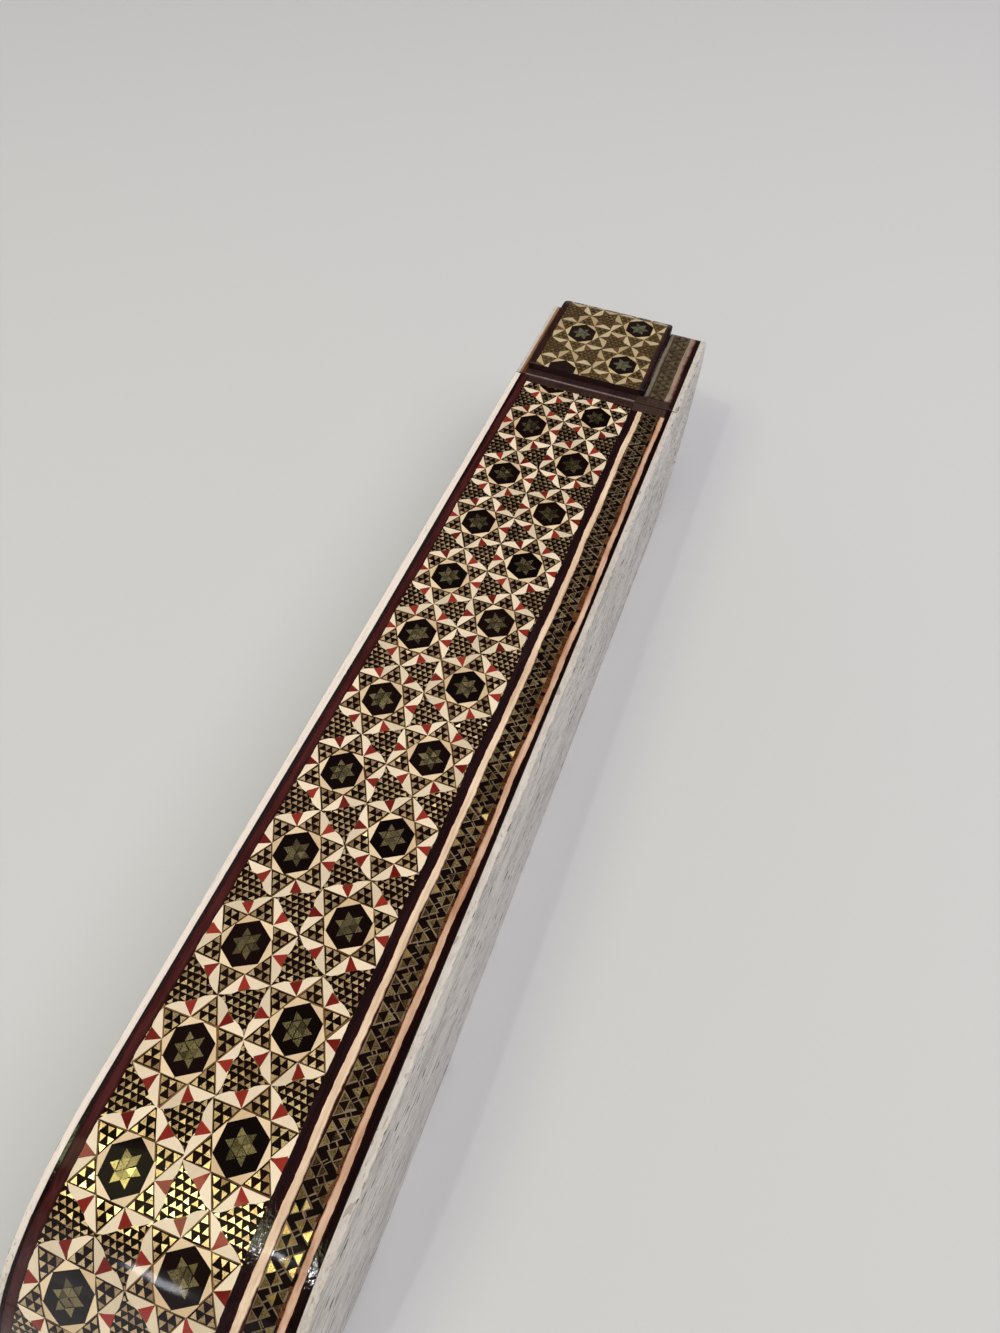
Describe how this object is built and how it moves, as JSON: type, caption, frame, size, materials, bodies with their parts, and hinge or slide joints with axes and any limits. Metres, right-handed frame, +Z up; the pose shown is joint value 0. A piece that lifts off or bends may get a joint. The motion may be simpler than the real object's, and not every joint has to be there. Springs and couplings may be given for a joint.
{
  "type": "pencil box",
  "caption": "Long wooden pencil box with a rounded nose, star marquetry on top, bone sides, and a drawer that pulls out of its far end.",
  "frame": {"origin": "middle of the footprint, on the surface that the box stands on", "axes": "+Y along the box from the closed nose to the drawer's head, +X to the right with the star face up, +Z up"},
  "size_m": [0.0412, 0.23, 0.0405],
  "materials": {
    "star_khatam": "glossy lacquer",
    "band_khatam": "glossy lacquer",
    "maroon": "glossy lacquer",
    "purple_black": "glossy lacquer",
    "black_line": "glossy lacquer",
    "cream_line": "glossy lacquer",
    "orange_line": "glossy lacquer",
    "brown_block": "glossy lacquer",
    "bone": "polished bone",
    "case_wood": "bare, sanded",
    "tray_wood": "bare, sanded",
    "bottom_wood": "thin lacquer"
  },
  "bodies": {
    "case": {"case_roof": "case_wood", "case_floor": "case_wood", "case_left_wall": "case_wood", "case_right_wall": "case_wood", "nose_block": "case_wood", "case_left_line": "black_line", "case_left_border": "maroon", "case_star_panel": "star_khatam", "case_right_border": "purple_black", "case_inner_stringing": "cream_line", "case_triangle_band": "band_khatam", "case_outer_stringing": "orange_line", "case_right_edge": "black_line", "mouth_strip": "maroon", "mouth_block": "brown_block", "case_left_bone": "bone", "case_right_bone": "bone", "case_bottom_veneer": "bottom_wood"},
    "drawer": {"end_block": "case_wood", "tray_floor": "tray_wood", "tray_left_wall": "tray_wood", "tray_right_wall": "tray_wood", "tray_back_wall": "tray_wood", "end_left_line": "brown_block", "end_left_stringing": "orange_line", "end_left_border": "black_line", "end_star_panel": "star_khatam", "end_right_border": "purple_black", "end_inner_stringing": "cream_line", "end_triangle_band": "band_khatam", "end_outer_stringing": "orange_line", "end_right_edge": "black_line", "end_seam_strip": "maroon", "end_seam_block": "brown_block", "end_left_bone": "bone", "end_right_bone": "bone", "end_bottom_veneer": "bottom_wood"}
  },
  "joints": [
    {"name": "drawer_slide", "type": "slide", "parent": "case", "child": "drawer", "axis": [0, 1, 0], "range_m": [0, 0.19]}
  ]
}
